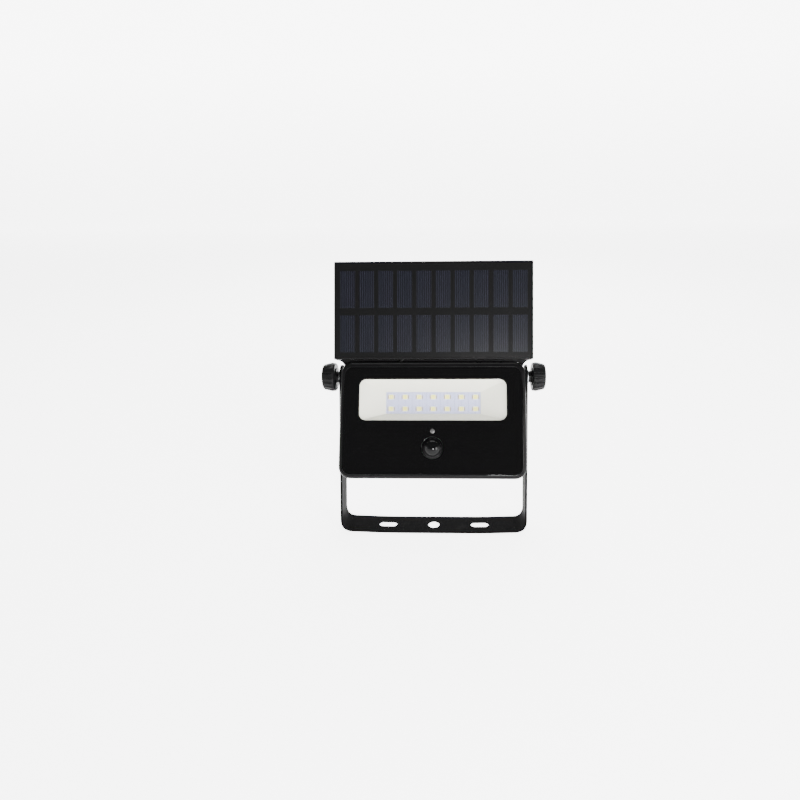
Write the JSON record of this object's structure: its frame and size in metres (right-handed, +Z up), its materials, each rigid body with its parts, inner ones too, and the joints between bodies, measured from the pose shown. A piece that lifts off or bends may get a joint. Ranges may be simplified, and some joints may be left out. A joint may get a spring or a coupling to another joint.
{
  "type": "solar flood light",
  "caption": "Solar flood light: a lamp head with a reflector and a motion sensor and a solar panel, both tilting between the arms of a U bracket with hand knobs.",
  "frame": {"origin": "centre of the bracket base's underside, in the middle of its round fixing hole", "axes": "+X to the viewer's right along the hinge line, -Y towards the lit side, +Z up away from the mounting surface"},
  "size_m": [0.2286, 0.119, 0.2562],
  "materials": {
    "black_plastic": "fine moulded satin",
    "knob_plastic": "satin",
    "lens_plastic": "gloss",
    "black_steel": "satin powder coat",
    "black_rubber": "matte",
    "cable_jacket": "satin",
    "black_glass": "black-printed, polished, with a clear window",
    "zinc_steel": "zinc plated",
    "white_plastic": "satin white",
    "white_board": "solder mask",
    "phosphor": "silicone over phosphor",
    "aluminium": "mill finish",
    "solar_cell": "resin laminate",
    "green_board": "solder mask",
    "cell_wrap": "shrink wrap",
    "sensor_grey": "clear resin over a grey chip"
  },
  "bodies": {
    "bracket": {"mounting_bracket": "black_steel"},
    "head": {"rear_housing": "black_plastic", "front_bezel": "black_plastic", "front_glass": "black_glass", "glass_gasket": "black_rubber", "housing_gasket": "black_rubber", "reflector": "white_plastic", "led_board": "white_board", "heat_spreader": "aluminium", "pir_lens": "lens_plastic", "pir_sensor": "zinc_steel", "light_sensor": "sensor_grey", "control_board": "green_board", "battery_cell_1": "cell_wrap", "battery_cell_2": "cell_wrap", "battery_holder": "black_plastic", "button_switch": "black_plastic", "button_ring": "black_rubber", "left_hinge_nut": "zinc_steel", "right_hinge_nut": "zinc_steel", "left_friction_washer": "black_rubber", "right_friction_washer": "black_rubber", "head_grommet": "black_rubber", "panel_lead": "cable_jacket", "led_1": "phosphor", "led_2": "phosphor", "led_3": "phosphor", "led_4": "phosphor", "led_5": "phosphor", "led_6": "phosphor", "led_7": "phosphor", "led_8": "phosphor", "led_9": "phosphor", "led_10": "phosphor", "led_11": "phosphor", "led_12": "phosphor", "led_13": "phosphor", "led_14": "phosphor", "housing_screw_1": "zinc_steel", "housing_screw_2": "zinc_steel", "housing_screw_3": "zinc_steel", "housing_screw_4": "zinc_steel", "housing_screw_5": "zinc_steel", "housing_screw_6": "zinc_steel"},
    "panel": {"panel_tray": "black_plastic", "solar_laminate": "solar_cell", "panel_back_cover": "black_plastic", "panel_grommet": "black_rubber", "panel_screw_1": "zinc_steel", "panel_screw_2": "zinc_steel", "panel_screw_3": "zinc_steel", "panel_screw_4": "zinc_steel"},
    "left_knob": {"left_knob": "knob_plastic", "left_hinge_bolt": "zinc_steel", "left_plain_washer": "zinc_steel"},
    "right_knob": {"right_knob": "knob_plastic", "right_hinge_bolt": "zinc_steel", "right_plain_washer": "zinc_steel"},
    "power_button": {"power_button": "black_rubber"}
  },
  "joints": [
    {"name": "head_tilt", "type": "hinge", "parent": "bracket", "child": "head", "pos_m": [0, 0.058, 0.1455], "axis": [1, 0, 0], "range_deg": [-45, 90]},
    {"name": "panel_tilt", "type": "hinge", "parent": "head", "child": "panel", "pos_m": [0, 0.058, 0.1455], "axis": [1, 0, 0], "range_deg": [-75, 10], "deforming": ["panel_lead"]},
    {"name": "left_knob_turn", "type": "hinge", "parent": "head", "child": "left_knob", "pos_m": [-0.1, 0.058, 0.1455], "axis": [-1, 0, 0], "range_deg": [0, 360]},
    {"name": "right_knob_turn", "type": "hinge", "parent": "head", "child": "right_knob", "pos_m": [0.1, 0.058, 0.1455], "axis": [1, 0, 0], "range_deg": [0, 360]},
    {"name": "power_button_press", "type": "slide", "parent": "head", "child": "power_button", "axis": [0, -0.848, 0.5299], "range_m": [0, 0.0012], "stiffness_N_per_m": 1200}
  ]
}
